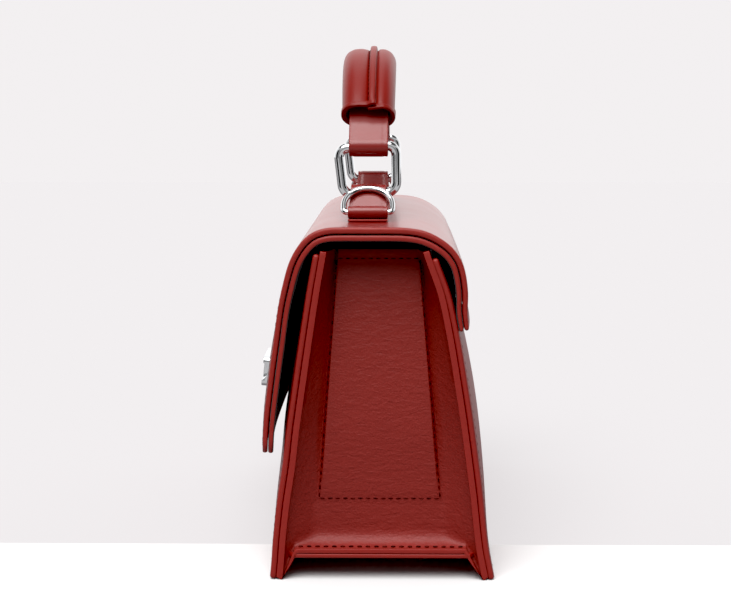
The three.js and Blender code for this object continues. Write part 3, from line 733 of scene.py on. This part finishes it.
# Flap: an outer ply and a lining ply along one curve over the top
def flap_line(through):
    """Line on the flap at the bag's ends, for a share of its thickness, with that thickness."""
    knots = np.array(FLAP_LINE)
    steps = np.r_[0, np.cumsum(np.hypot(np.diff(knots[:, 0]), np.diff(knots[:, 1])))]
    places = np.linspace(0, steps[-1], 110)
    y, z, thick = (np.array([smooth_through(list(zip(steps, knots[:, k])), s) for s in places])
                   for k in range(3))
    run_y, run_z = np.gradient(y, places), np.gradient(z, places)
    out = through * thick / np.hypot(run_y, run_z)
    return [(-HALF_WIDTH, *spot) for spot in zip(y - run_z * out, z + run_y * out)], thick


def flap_front_bow(x, z):
    """Share of the bulge on the flap's front, which fades out towards the top."""
    return bow(x) * (1 - ease((z - BULGE_FADES_AT) / BULGE_FADE_RUN))


def flap_back_bow(x, z):
    return bow(x) * math.sin(math.pi * min(z / BACK_HEIGHT, 1))


def round_corners(piece, tip):
    """Draws in the rows near the flap's tip so that its corners are round."""
    for row in sorted({round(p.co.z / MM, 3) for p in piece.data.vertices if p.co.y < 0}):
        if row - tip < FLAP_CORNER:
            short = FLAP_CORNER - max(row - tip, 0)
            half = HALF_WIDTH - FLAP_CORNER + math.sqrt(FLAP_CORNER ** 2 - short ** 2)
            resize_where(piece, lambda s: abs(s.z - row) < 0.01 and s.y < 0,
                         (half / HALF_WIDTH, 1, 1))


def flap_ply(name, through, outside, face, slot, node):
    line, thick = flap_line(through)
    piece = cut_sheet(name, line, (BAG_WIDTH, 0, 0), 44, outside)
    places = {(round(y, 2), round(z, 2)): t for (_, y, z), t in zip(line, thick)}
    group = weigh(piece, "ply", lambda s: places.get(
        (round(s.y, 2), round(s.z, 2)), 6) / FLAP_TOP_THICKNESS)
    round_corners(piece, min(z for _, _, z in line[:5]))
    bow_out(piece, -FLAP_BULGE, lambda s: 0 if s.y > 0 else flap_front_bow(s.x, s.z))
    bow_out(piece, PANEL_BULGE, lambda s: 0 if s.y < 0 else flap_back_bow(s.x, s.z))
    thicken(piece, FLAP_TOP_THICKNESS * FLAP_PLY_SHARE, face, rim_round=1.05, group=group)
    finish_piece(piece, slot, node)


flap_ply("flap_outer_hide", 1, (0, -1, 0), LEATHER, "leather", "flap_outer")
flap_ply("flap_lining_cloth", 0, (0, 1, 0), LINING, "lining", "flap_lining")
FLAP_SKIN, _ = flap_line(1)


def flap_seam(x, i):
    """Place of a stitch on the flap's outer face, sunk a little into it."""
    _, y, z = FLAP_SKIN[i]
    return (x, y - FLAP_BULGE * flap_front_bow(x, z) + 0.2, z - 0.12)


for side, mark in SIDES:
    stitch_row(f"flap_side_stitches_{mark}",
               [flap_seam(side * (HALF_WIDTH - 4), i) for i in range(3, 44)])
stitch_row("flap_foot_stitches",
           along(lambda x: flap_seam(x, 2), -HALF_WIDTH + 6, HALF_WIDTH - 6, 40))

# Clasp: a chromed plaque with a scoop at each side of its grip
CLASP_SIZE = (30, 5.5, 15)
CLASP_CORNER = 2.5
CLASP_DROP = 0.7
CLASP_LEAN = math.radians(5.4)
SCOOP_RADIUS = 5.2
SCOOP_DEPTH = 2.6
SCOOP_LENGTH = 30
SCOOP_X = 21
clasp_low, clasp_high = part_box("clasp_plate")
clasp = start_from(bpy.ops.mesh.primitive_cube_add, "clasp_plaque", size=MM)
take_all(clasp, "EDGE")
bpy.ops.transform.resize(value=CLASP_SIZE, center_override=(0, 0, 0))
bpy.ops.mesh.select_all(action="DESELECT")
bpy.ops.object.mode_set(mode="OBJECT")
for edge in clasp.data.edges:
    start, stop = (clasp.data.vertices[i].co for i in edge.vertices)
    edge.select = abs(start.y - stop.y) > MM
bpy.ops.object.mode_set(mode="EDIT")
bpy.ops.mesh.bevel(offset=CLASP_CORNER * MM, segments=6)
bpy.ops.object.mode_set(mode="OBJECT")
for side, mark in SIDES:
    scoop_y = SCOOP_DEPTH - CLASP_SIZE[1] / 2 - SCOOP_RADIUS
    scoop = start_from(bpy.ops.mesh.primitive_cylinder_add, f"scoop_{mark}", vertices=64,
                       radius=SCOOP_RADIUS * MM, depth=SCOOP_LENGTH * MM,
                       rotation=(0, math.pi / 2, 0),
                       location=(side * SCOOP_X * MM, scoop_y * MM, 0))
    apply_modifier(clasp, "BOOLEAN", object=scoop, operation="DIFFERENCE")
    bpy.data.objects.remove(scoop)
round_edges(clasp, 0.5, angle=35)
clasp.rotation_euler.x = -CLASP_LEAN
clasp.location = (clasp_low + clasp_high) / 2 - Vector((0, 0, CLASP_DROP * MM))
take(clasp)
bpy.ops.object.transform_apply(location=True, rotation=True, scale=True)
dress(clasp, CHROME)
finish_piece(clasp, "chrome", "clasp_plate", angle=30)
dress(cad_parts["magnet_snap"], LINING)

# Rings: a flat face with round corners, opened, thickened and rounded over. D-rings: bent wire
RING_TILT = math.radians(3.5)
RING_CORNERS = [(-14.5, -13.3), (14.5, -13.3), (-16, 13.3), (16, 13.3)]
RING_BEND = 7
RING_ROUND = 2.2
D_HEEL = 1.7
D_BOW = 11


def polished_ring(name):
    piece = start_from(bpy.ops.mesh.primitive_plane_add, name, size=MM)
    for point, (y, z) in zip(piece.data.vertices, RING_CORNERS):
        point.co = Vector((0, y, z)) * MM
    take_all(piece)
    bpy.ops.mesh.bevel(offset=RING_BEND * MM, segments=14, affect="VERTICES")
    bpy.ops.object.mode_set(mode="OBJECT")
    take_all(piece, "FACE")
    bpy.ops.mesh.inset(thickness=RING_WIRE * MM)
    bpy.ops.mesh.delete(type="FACE")
    bpy.ops.mesh.select_all(action="SELECT")
    bpy.ops.transform.translate(value=(-RING_WIRE / 2 * MM, 0, 0))
    bpy.ops.mesh.extrude_region_move(TRANSFORM_OT_translate={"value": (RING_WIRE * MM, 0, 0)})
    bpy.ops.object.mode_set(mode="OBJECT")
    align_faces(piece)
    round_edges(piece, RING_ROUND, steps=5)
    return piece


def arc(circle, start, stop, count):
    return [(circle[0] + circle[2] * math.cos(a), circle[1] + circle[2] * math.sin(a))
            for a in np.linspace(start, stop, count)]


def d_wire(name):
    """Bends a D about its bar, which lies along Y."""
    side, top = (D_WIDTH - D_WIRE) / 2, D_HEIGHT - D_WIRE
    line = []
    for y, z, radius, start, steps in (
        (side - D_HEEL, D_HEEL, D_HEEL, -90, 6), (side - D_BOW, top - D_BOW, D_BOW, 0, 18),
        (D_BOW - side, top - D_BOW, D_BOW, 90, 18), (D_HEEL - side, D_HEEL, D_HEEL, 180, 6),
    ):
        line += arc((y, z, radius), math.radians(start), math.radians(start + 90), steps)
    return drawn_line(name, [(0, y, z) for y, z in line], closed=True, wire=D_WIRE)


def fit(piece, node, x, z, tilt=0, lean=0, body="bag"):
    """Turns a chromed fitting about its bar, puts it over one end of the bag and finishes it."""
    piece.rotation_euler = (tilt, lean, 0)
    piece.location = Vector((x, HANDLE_Y, z)) * MM
    take(piece)
    bpy.ops.object.transform_apply(location=True, rotation=True, scale=True)
    dress(piece, CHROME)
    finish_piece(piece, "chrome", node, body=body)


for side, mark in SIDES:
    fit(polished_ring(f"ring_{mark}_polished"), f"ring_{mark}", side * RING_X,
        (RING_FOOT + RING_HEAD) / 2, tilt=RING_TILT)
    fit(d_wire(f"d_ring_{mark}_polished"), f"d_ring_{mark}", side * D_BAR[0], D_BAR[1],
        lean=-side * D_LEAN, body=f"d_ring_{mark}")

# Leather loops, tabs and the ends of the handle's strap
STRIP_STEPS = 14
CREASE_DEPTH = 0.22
LOOP_WIDTH = 18
LOOP_NECK_SHARE = 0.89
LOOP_NECK_FROM = RING_FOOT - 3
LOOP_PLY = 1.1
LOOP_FOOT = 159.3
LOOP_SEAM = LOOP_FOOT + 2 * LOOP_PLY
LOOP_END = -19
LOOP_HEEL = -9.5
LOOP_EYE = RING_EYE + 1.4
D_EYE = 2.8
TAB_SIZE = (40, 18.2, 1)
TAB_X = 62.6
TAB_TOP = 159
STRAP_WIDTH = 17.8
STRAP_HALF = 1.9
STRAP_PLY = 1.75
STRAP_EYE = RING_EYE + 1.6
STRAP_NECK = 12
STRAP_HIDDEN = math.radians(38)


def tangent(start, stop):
    """Angle where a strap leaves one circle (x, z, r) for the next, with both on its left."""
    run_x, run_z = stop[0] - start[0], stop[1] - start[1]
    return math.atan2(run_z, run_x) - math.acos((start[2] - stop[2]) / math.hypot(run_x, run_z))


def strip(name, side, line, width, outside):
    """Cuts a strip of leather along a line drawn in x and z, with a creased line near each edge."""
    points = [(side * x, HANDLE_Y - width / 2, z) for x, z in line]
    piece = cut_sheet(name, points, (0, width, 0), STRIP_STEPS, (side * outside[0], 0, outside[1]))
    crease = width / 2 - width / STRIP_STEPS
    select_where(piece, lambda s: abs(abs(s.y - HANDLE_Y) - crease) < 0.1)
    bpy.ops.transform.shrink_fatten(value=-CREASE_DEPTH * MM)
    bpy.ops.object.mode_set(mode="OBJECT")
    return piece


def loop_line():
    """Line of a loop's strap: out along the tab, round the D-ring's bar, over the ring and back."""
    ring_bar = (0, RING_FOOT, LOOP_EYE)
    d_bar = (D_BAR[0] - RING_X, D_BAR[1], D_EYE)
    valley = (d_bar[0] - d_bar[2] - LOOP_PLY, LOOP_SEAM, 0)
    heel = (LOOP_HEEL, LOOP_SEAM, 0)
    line = [(x, LOOP_FOOT) for x in np.linspace(LOOP_END, d_bar[0], 12)]
    line += arc(d_bar, -math.pi / 2, tangent(d_bar, valley) + 2 * math.pi, 16)[1:]
    line += [(valley[0] + 0.25, valley[1] + 0.05), (valley[0] - 0.3, valley[1] + 0.1)]
    line += arc(ring_bar, tangent(valley, ring_bar), tangent(ring_bar, heel) + 2 * math.pi, 20)
    line += [(heel[0] + 0.6, heel[1] + 0.5), (heel[0] - 0.6, heel[1])]
    line += [(x, LOOP_SEAM) for x in np.linspace(-12, LOOP_END, 4)]
    return [(RING_X + x, z) for x, z in line]


def loop(side, mark):
    piece = strip(f"loop_{mark}_strap", side, loop_line(), LOOP_WIDTH, (0, -1))
    resize_where(piece, lambda s: s.z > LOOP_NECK_FROM, (1, LOOP_NECK_SHARE, 1), (0, HANDLE_Y, 0))
    thicken(piece, LOOP_PLY, LEATHER, rim_round=0.3)
    finish_piece(piece, "leather", f"loop_{mark}")
    for mark_y, y in (("front", HANDLE_Y - 6.8), ("back", HANDLE_Y + 6.8)):
        row = along(lambda x: (side * (RING_X + x), y, LOOP_SEAM), -11.5, -18, 4)
        stitch_row(f"loop_{mark_y}_stitches_{mark}", row, pitch=2.9, length=2)


def base_tab(side, mark):
    tab = start_from(bpy.ops.mesh.primitive_cube_add, f"base_tab_{mark}_leather", size=MM)
    take_all(tab)
    bpy.ops.transform.resize(value=TAB_SIZE, center_override=(0, 0, 0))
    middle = Vector((side * TAB_X, HANDLE_Y, TAB_TOP - TAB_SIZE[2] / 2))
    bpy.ops.transform.translate(value=middle * MM)
    bpy.ops.object.mode_set(mode="OBJECT")
    round_edges(tab, 0.35)
    dress(tab, EDGE)
    finish_piece(tab, "leather", f"base_tab_{mark}")


def on_arch(radius, angle):
    return radius * math.sin(angle), ARCH_CENTRE + radius * math.cos(angle)


def strap_line():
    """Line of the strap's end: out of the roll, round the ring and back into the roll."""
    neck = math.asin(RING_X / ARCH_RADIUS) - STRAP_NECK / ARCH_RADIUS
    eye = (RING_X, RING_HEAD, STRAP_EYE)
    inner = along(lambda a: on_arch(ARCH_RADIUS - STRAP_HALF, a), STRAP_HIDDEN, neck, 10)
    outer = along(lambda a: on_arch(ARCH_RADIUS + STRAP_HALF, a), neck, STRAP_HIDDEN, 10)
    start = tangent((*inner[-1], 0), eye)
    stop = tangent(eye, (*outer[0], 0))
    if stop < start:
        stop += 2 * math.pi
    return inner + arc(eye, start, stop, 22) + outer


for side, mark in SIDES:
    loop(side, mark)
    base_tab(side, mark)
    strap = strip(f"handle_strap_{mark}", side, strap_line(), STRAP_WIDTH,
                  (-math.sin(STRAP_HIDDEN), -math.cos(STRAP_HIDDEN)))
    thicken(strap, STRAP_PLY, LEATHER, rim_round=0.45)
    finish_piece(strap, "leather", "handle_strap")

# Padded roll of the handle: its section is drawn, spun along the arch and hollowed at both ends
ROLL_WIDTH = 26.5
ROLL_THICKNESS = 15.6
ROLL_Y = HANDLE_Y - 0.35
ROLL_END = 0.93
ROLL_SECTION = [
    (0, -1), (0.45, -0.97), (0.8, -0.75), (0.98, -0.25), (0.97, 0.3), (0.82, 0.74), (0.6, 0.95),
    (0.4, 0.97), (0.31, 0.87), (0.285, 0.93), (0.27, 1.12), (0.22, 1.18), (0.155, 1.19),
    (0.09, 1.18), (0.04, 1.12), (0.025, 0.93), (0, 0.84), (-0.08, 0.93), (-0.3, 1),
    (-0.6, 0.95), (-0.86, 0.68), (-0.98, 0.2), (-0.95, -0.35), (-0.75, -0.78), (-0.45, -0.97),
]
SECTION_STEPS = 4
SPIN_STEPS = 56
MOUTH_SHARES = (0.84, 0.87, 0.84)
MOUTH_DEPTH = 6
GROOVE_OUT = 6.9
GROOVE_SWEEP = 0.83


def roll_section():
    """Smooth closed line through the section's points, in mm."""
    knots = np.array(ROLL_SECTION) * (ROLL_WIDTH / 2, ROLL_THICKNESS / 2)
    line = []
    for i in range(len(knots)):
        a, b, c, d = (knots[(i + k) % len(knots)] for k in (-1, 0, 1, 2))
        for t in np.arange(SECTION_STEPS) / SECTION_STEPS:
            line.append(0.5 * (2 * b + (c - a) * t + (2 * a - 5 * b + 4 * c - d) * t ** 2
                               + (3 * b - a - 3 * c + d) * t ** 3))
    return line


start_points = []
for across, out in roll_section():
    x, z = on_arch(ARCH_RADIUS + out, -ROLL_SWEEP)
    start_points.append((x, ROLL_Y + across, z))
roll = drawn_line("handle_roll_padded", start_points, closed=True)
take_all(roll)
bpy.ops.mesh.spin(steps=SPIN_STEPS, angle=-2 * ROLL_SWEEP, axis=(0, 1, 0),
                  center=Vector((0, ROLL_Y, ARCH_CENTRE)) * MM)
bpy.ops.object.mode_set(mode="OBJECT")
for point in roll.data.vertices:
    sweep = math.atan2(point.co.x, point.co.z - ARCH_CENTRE * MM) / ROLL_SWEEP
    slim = 1 - (1 - ROLL_END) * sweep ** 2
    point.co.y = (ROLL_Y + (point.co.y / MM - ROLL_Y) * slim) * MM
for end, _ in SIDES:
    x, z = on_arch(ARCH_RADIUS, end * ROLL_SWEEP)
    inward = Vector((-end * math.cos(ROLL_SWEEP), 0, math.sin(ROLL_SWEEP))) * MM
    select_where(roll, lambda s: abs(math.atan2(s.x, s.z - ARCH_CENTRE) - end * ROLL_SWEEP) < 0.002)
    bpy.ops.mesh.extrude_region_move(TRANSFORM_OT_translate={"value": (0, 0, 0)})
    bpy.ops.transform.resize(value=MOUTH_SHARES, center_override=Vector((x, ROLL_Y, z)) * MM)
    bpy.ops.mesh.extrude_region_move(TRANSFORM_OT_translate={"value": inward * MOUTH_DEPTH})
    bpy.ops.mesh.edge_face_add()
    bpy.ops.object.mode_set(mode="OBJECT")
align_faces(roll)
round_edges(roll, 0.6, angle=60)
dress(roll, PADDED)
finish_piece(roll, "leather", "handle_roll")
groove = along(lambda a: on_arch(ARCH_RADIUS + GROOVE_OUT, a), -GROOVE_SWEEP, GROOVE_SWEEP, 60)
stitch_row("roll_stitches", [(x, ROLL_Y + 0.1, z) for x, z in groove], pitch=3.2, length=2.2,
           thread=0.6)

# Hems round the roll's open ends: the front half's comes off the ridge and lies over the back
# half's. Each has how far it stands out beyond the end, and its outline round the section
HEM_WIDTH = 2.6
HEM_PLY = 1.6
HEM_PROUD = 0.6
section = [(across / (ROLL_WIDTH / 2), out / (ROLL_THICKNESS / 2))
           for across, out in roll_section()]
front_half = section[19 * SECTION_STEPS:] + [section[0]]
back_half = section[6 * SECTION_STEPS + 2:0:-1] + [section[0]]
HEMS = {
    "front": (0.5, [(0.3, 1.1), (0.24, 1.17), (0.16, 1.18), (0.08, 1.12), (0, 1.03),
                    (-0.12, 0.98), (-0.3, 1)] + front_half),
    "back": (1.5, [(-0.02, 0.82), (0.12, 0.86), (0.28, 0.92), (0.45, 0.96)] + back_half),
}
for side, mark in SIDES:
    for half, (beyond, outline) in HEMS.items():
        rim = []
        for across, out in outline:
            x, z = on_arch(ARCH_RADIUS + out * (ROLL_THICKNESS / 2 + HEM_PROUD),
                           side * (ROLL_SWEEP + beyond / ARCH_RADIUS))
            rim.append((x, ROLL_Y + across * (ROLL_WIDTH / 2 * ROLL_END + HEM_PROUD), z))
        inward = Vector((-side * math.cos(ROLL_SWEEP), 0, math.sin(ROLL_SWEEP))) * HEM_WIDTH
        hem = cut_sheet(f"roll_hem_{half}_{mark}", rim, inward, 2,
                        (side * math.sin(ROLL_SWEEP), 0, math.cos(ROLL_SWEEP)))
        thicken(hem, HEM_PLY, PADDED, rim_round=0.65, edge=PADDED)
        finish_piece(hem, "leather", "handle_roll", angle=60)

# Stage, in metres. Two black cards beside the camera, seen only in reflections, draw the dark
# lines in the chrome
CARD_SIZE = (0.4, 0.5, 1)
CARD_AWAY = 0.6
CARD_HEIGHT = 0.252
CARD_TURN = math.radians(50)
floor = start_from(bpy.ops.mesh.primitive_plane_add, "studio_floor", size=6, location=(0, 0, 0))
dress(floor, PAPER)
for side, mark in SIDES:
    card = start_from(bpy.ops.mesh.primitive_plane_add, f"black_card_{mark}", size=1)
    card.scale = CARD_SIZE
    card.rotation_euler = (math.pi / 2, 0, side * CARD_TURN - math.pi / 2)
    card.location = (CARD_AWAY * math.cos(CARD_TURN), side * CARD_AWAY * math.sin(CARD_TURN),
                     CARD_HEIGHT)
    take(card)
    bpy.ops.object.transform_apply(location=True, rotation=True, scale=True)
    card.visible_camera = card.visible_diffuse = card.visible_shadow = False
    dress(card, LINING)

# A white tent: brightest behind the bag, darker low down in front of it
world = bpy.data.worlds.new("soft_studio")
bpy.context.scene.world = world
world.use_nodes = True
world.node_tree.nodes.clear()
way = add_node(world, "SeparateXYZ",
               links={"Vector": add_node(world, "TexCoord").outputs["Generated"]})
rays = add_node(world, "LightPath")
smooth = {"interpolation_type": "SMOOTHSTEP"}
multiply = {"operation": "MULTIPLY"}
ahead = add_node(world, "MapRange", smooth, {"From Min": 0.25, "From Max": 0.75},
                 {"Value": way.outputs["X"]})
level = add_node(world, "MapRange", smooth,
                 {"From Min": 0.12, "From Max": 0.5, "To Min": 1.0, "To Max": 0.0},
                 {"Value": way.outputs["Z"]})
dark_side = add_node(world, "Math", multiply, None,
                     {0: ahead.outputs["Result"], 1: level.outputs["Result"]})
far = add_node(world, "MapRange", smooth,
               {"From Min": 0.3, "From Max": -0.6, "To Min": 0.3, "To Max": 0.85},
               {"Value": way.outputs["X"]})
tent = add_node(world, "Math", {"operation": "MULTIPLY_ADD"}, {1: 0.45},
                {0: rays.outputs["Is Glossy Ray"], 2: far.outputs["Result"]})
veil = add_node(world, "MapRange", None, {"To Min": 1.0, "To Max": 0.38},
                {"Value": dark_side.outputs[0]})
sky = add_node(world, "Math", multiply, None, {0: tent.outputs[0], 1: veil.outputs["Result"]})
# The tent's open corners overhead: dark patches to each side that only glossy rays see
aside = add_node(world, "Math", {"operation": "ABSOLUTE"}, None, {0: way.outputs["Y"]})
corner = rays.outputs["Is Glossy Ray"]
for source, low, high, at_low, at_high in (
    (way.outputs["Z"], 0.55, 0.75, 0.0, 1.0),
    (aside.outputs[0], 0.18, 0.32, 0.0, 1.0),
    (aside.outputs[0], 0.65, 0.8, 1.0, 0.0),
):
    share = add_node(world, "MapRange", smooth,
                     {"From Min": low, "From Max": high, "To Min": at_low, "To Max": at_high},
                     {"Value": source})
    corner = add_node(world, "Math", multiply, None, {0: corner, 1: share.outputs[0]}).outputs[0]
shut = add_node(world, "MapRange", None, {"To Min": 1.0, "To Max": 0.12}, {"Value": corner})
sky = add_node(world, "Math", multiply, None, {0: sky.outputs[0], 1: shut.outputs[0]})
backdrop = add_node(world, "Mix", TWO_COLOURS, {7: linear(BACKDROP)},
                    {0: rays.outputs["Is Camera Ray"], 6: sky.outputs[0]})
glow = add_node(world, "Background", links={"Color": backdrop.outputs[2]})
add_node(world, "OutputWorld", links={"Surface": glow.outputs[0]})
view = bpy.context.scene.view_settings
view.view_transform = "Standard"
view.use_curve_mapping = True
view.curve_mapping.black_level = (0.012, 0.012, 0.012)
view.curve_mapping.update()

LAMP_FROM = (0.46, -0.13, 0.88)
key = bpy.data.lights.new("overhead_softbox", "SUN")
key.energy = math.pi
key.angle = math.radians(50)
lamp = bpy.data.objects.new("overhead_softbox", key)
bpy.context.collection.objects.link(lamp)
lamp.rotation_euler = Vector(LAMP_FROM).to_track_quat("Z", "Y").to_euler()

camera_data = bpy.data.cameras.new("camera")
camera_data.lens = 73.27
camera_data.sensor_width = 36
camera_data.shift_x = -0.0198
camera_data.shift_y = -0.1
camera = bpy.data.objects.new("camera", camera_data)
bpy.context.collection.objects.link(camera)
camera.location = (0.7565, 0.0128, 0.2145)
pitch, yaw = math.radians(5.11), math.radians(0.69)
gaze = Vector((-math.cos(pitch) * math.cos(yaw), -math.cos(pitch) * math.sin(yaw),
               -math.sin(pitch)))
camera.rotation_euler = gaze.to_track_quat("-Z", "Y").to_euler()
bpy.context.scene.camera = camera
